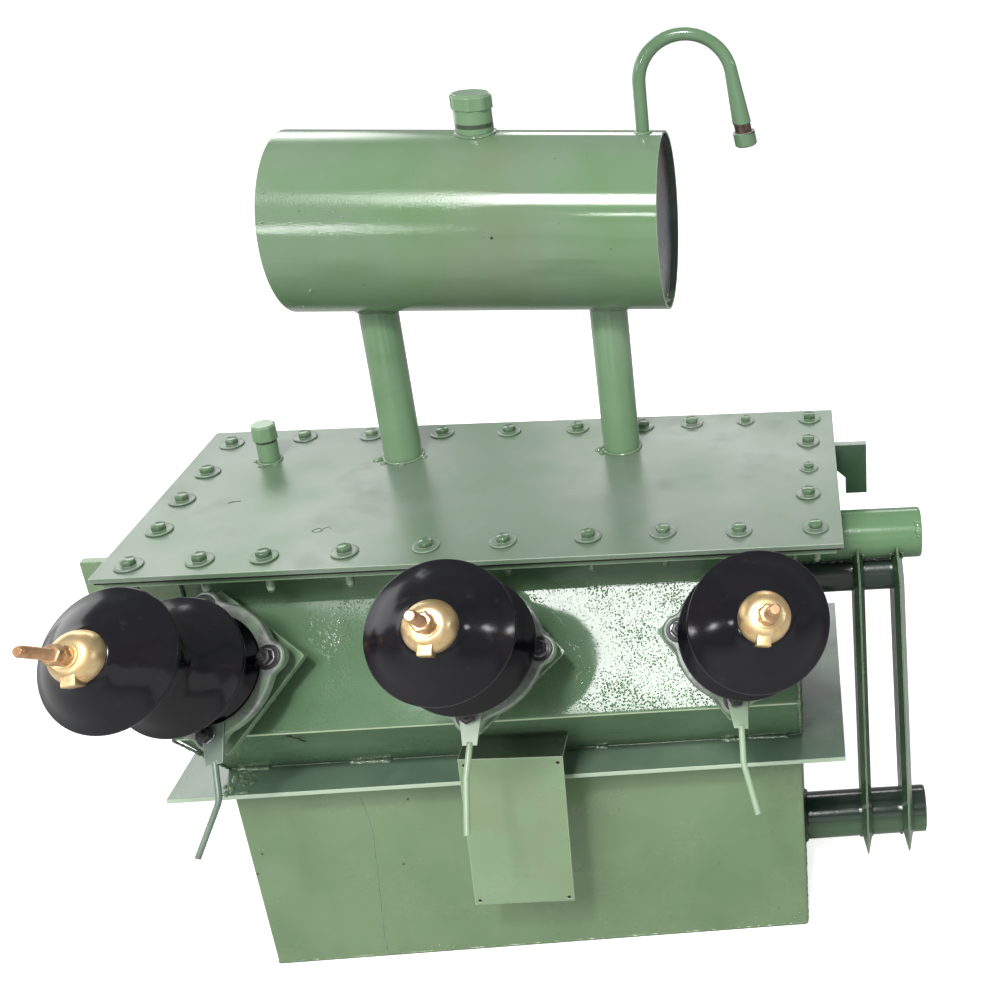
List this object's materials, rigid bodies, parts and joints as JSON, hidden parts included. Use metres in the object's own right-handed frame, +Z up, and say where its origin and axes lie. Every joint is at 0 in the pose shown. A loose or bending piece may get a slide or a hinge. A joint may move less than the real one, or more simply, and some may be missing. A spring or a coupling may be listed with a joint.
{
  "type": "power transformer",
  "caption": "Oil-filled distribution transformer: bolted two-part tank with splayed porcelain bushings, pipe-leg conservator, breather and finned radiator.",
  "frame": {"origin": "centre of the lower tank's bottom face, which stands on the ground", "axes": "+Z up; -Y the high-voltage side with the porcelain bushings; +X the radiator side"},
  "size_m": [1.017, 0.7413, 1.2312],
  "materials": {
    "tank_paint": "glossy sage-green enamel with orange peel, runs and weld seams",
    "flange_paint": "glossy sage-green enamel on cut plate edges",
    "cover_paint": "paler semi-gloss sage-green enamel with small scratches",
    "conservator_paint": "glossy sage-green enamel",
    "conservator_end_paint": "dark thinly painted end plate",
    "pipe_paint": "glossy sage-green enamel on steel pipe",
    "radiator_paint": "sage-green enamel on pressed sheet",
    "gasket_rubber": "black oil-resistant rubber cork",
    "porcelain": "near-black brown glaze",
    "clamp_aluminium": "sand-cast aluminium",
    "brass": "bright machined brass",
    "horn_steel": "pale grey-green paint over galvanised steel"
  },
  "bodies": {
    "root": {"arcing_horn_centre": "horn_steel", "arcing_horn_left": "horn_steel", "arcing_horn_right": "horn_steel", "breather_cap": "pipe_paint", "breather_pipe": "pipe_paint", "bushing_seat_centre": "flange_paint", "bushing_seat_left": "flange_paint", "bushing_seat_right": "flange_paint", "clamp_ring_centre": "clamp_aluminium", "clamp_ring_left": "clamp_aluminium", "clamp_ring_right": "clamp_aluminium", "conservator_drum": "conservator_paint", "conservator_end_left": "conservator_end_paint", "conservator_end_right": "conservator_end_paint", "conservator_leg_left": "pipe_paint", "conservator_leg_right": "pipe_paint", "cover_gasket": "gasket_rubber", "cover_plate": "cover_paint", "drain_stub": "pipe_paint", "filler_cap": "pipe_paint", "filler_neck": "pipe_paint", "hv_cap_centre": "brass", "hv_cap_left": "brass", "hv_cap_right": "brass", "hv_porcelain_centre": "porcelain", "hv_porcelain_left": "porcelain", "hv_porcelain_right": "porcelain", "hv_stud_centre": "brass", "hv_stud_left": "brass", "hv_stud_right": "brass", "ledge_plate": "flange_paint", "lifting_lug_left": "tank_paint", "lifting_lug_right": "tank_paint", "lower_tank": "tank_paint", "lv_porcelains": "porcelain", "lv_studs": "brass", "plate_bracket": "tank_paint", "radiator_fin_inner": "radiator_paint", "radiator_fin_outer": "radiator_paint", "radiator_header_bottom": "radiator_paint", "radiator_header_top": "radiator_paint", "tank_flange": "flange_paint", "thermometer_cap": "pipe_paint", "thermometer_pocket": "pipe_paint", "upper_tank": "tank_paint"}
  },
  "joints": []
}
